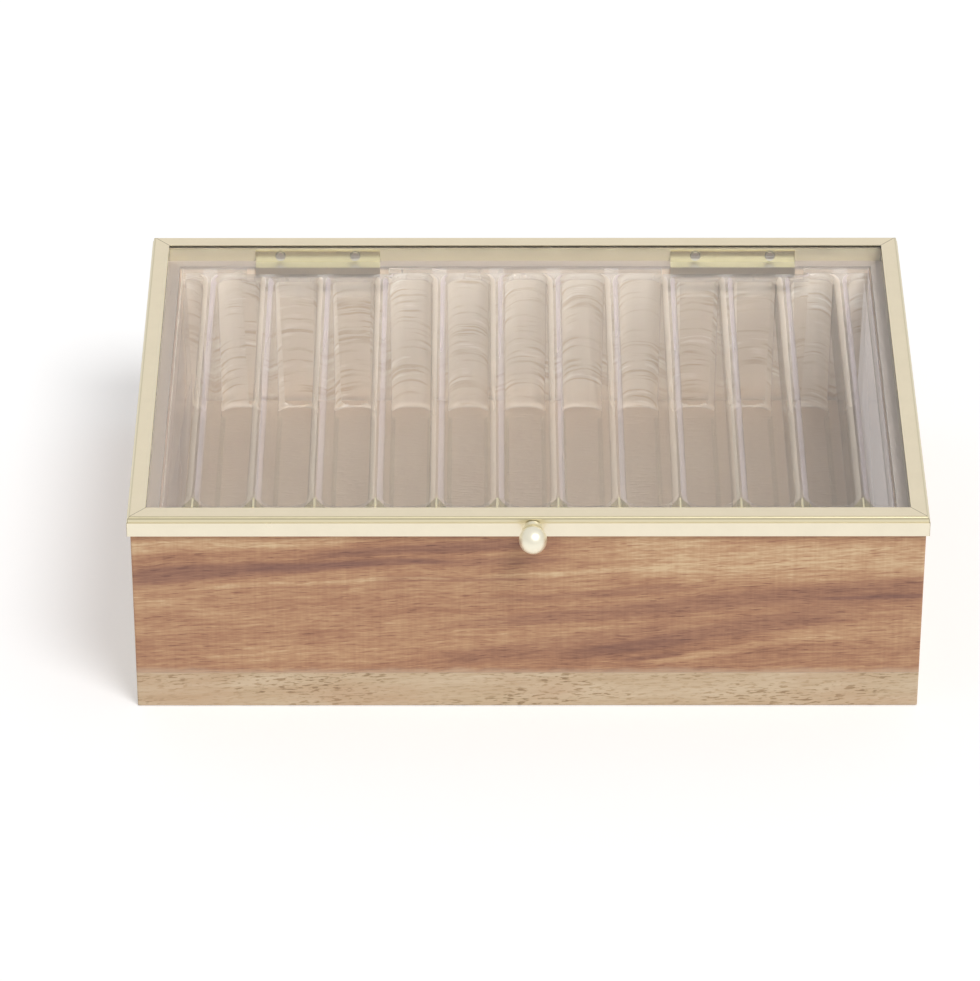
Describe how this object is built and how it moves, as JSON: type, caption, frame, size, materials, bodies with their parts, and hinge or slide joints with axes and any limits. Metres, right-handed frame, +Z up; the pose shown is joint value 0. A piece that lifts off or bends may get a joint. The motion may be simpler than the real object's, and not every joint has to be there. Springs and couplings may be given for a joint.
{
  "type": "tea bag organizer box",
  "caption": "Rectangular wooden box with a clear ribbed divider insert for tea bags and a hinged glass lid in a mitred brass frame with a ball knob.",
  "frame": {"origin": "middle of the bottom panel's underside, on the surface the box stands on", "axes": "+X to the right along the long side, +Y from the knob side to the hinge side, +Z up"},
  "size_m": [0.3, 0.2164, 0.088],
  "materials": {
    "brown_wood": "open-grained brown hardwood with darker streaks, thin matt oil",
    "pale_wood": "pale sapwood with short dark flecks, thin matt oil",
    "lid_brass": "satin light brass, polished inside",
    "knob_brass": "polished light brass",
    "hinge_brass": "bright plated brass",
    "screw_steel": "bright plated steel",
    "glass": "clear flat glass",
    "clear_plastic": "clear moulded plastic, glossy"
  },
  "bodies": {
    "base": {"bottom_panel": "pale_wood", "front_wall": "brown_wood", "rear_wall": "brown_wood", "left_wall": "brown_wood", "right_wall": "brown_wood", "divider_insert": "clear_plastic", "left_hinge_lower_leaf": "hinge_brass", "left_hinge_pin": "hinge_brass", "left_hinge_wood_screws": "screw_steel", "right_hinge_lower_leaf": "hinge_brass", "right_hinge_pin": "hinge_brass", "right_hinge_wood_screws": "screw_steel"},
    "lid": {"glass_pane": "glass", "lid_front_bar": "lid_brass", "lid_rear_bar": "lid_brass", "lid_left_bar": "lid_brass", "lid_right_bar": "lid_brass", "lid_front_channel": "lid_brass", "lid_rear_channel": "lid_brass", "lid_left_channel": "lid_brass", "lid_right_channel": "lid_brass", "knob_ball": "knob_brass", "knob_collar": "knob_brass", "knob_screw": "screw_steel", "left_hinge_upper_leaf": "hinge_brass", "left_hinge_leaf_screws": "screw_steel", "right_hinge_upper_leaf": "hinge_brass", "right_hinge_leaf_screws": "screw_steel"}
  },
  "joints": [
    {"name": "lid_hinge", "type": "hinge", "parent": "base", "child": "lid", "pos_m": [0, 0.1024, 0.0797], "axis": [-1, 0, 0], "range_deg": [0, 105]}
  ]
}
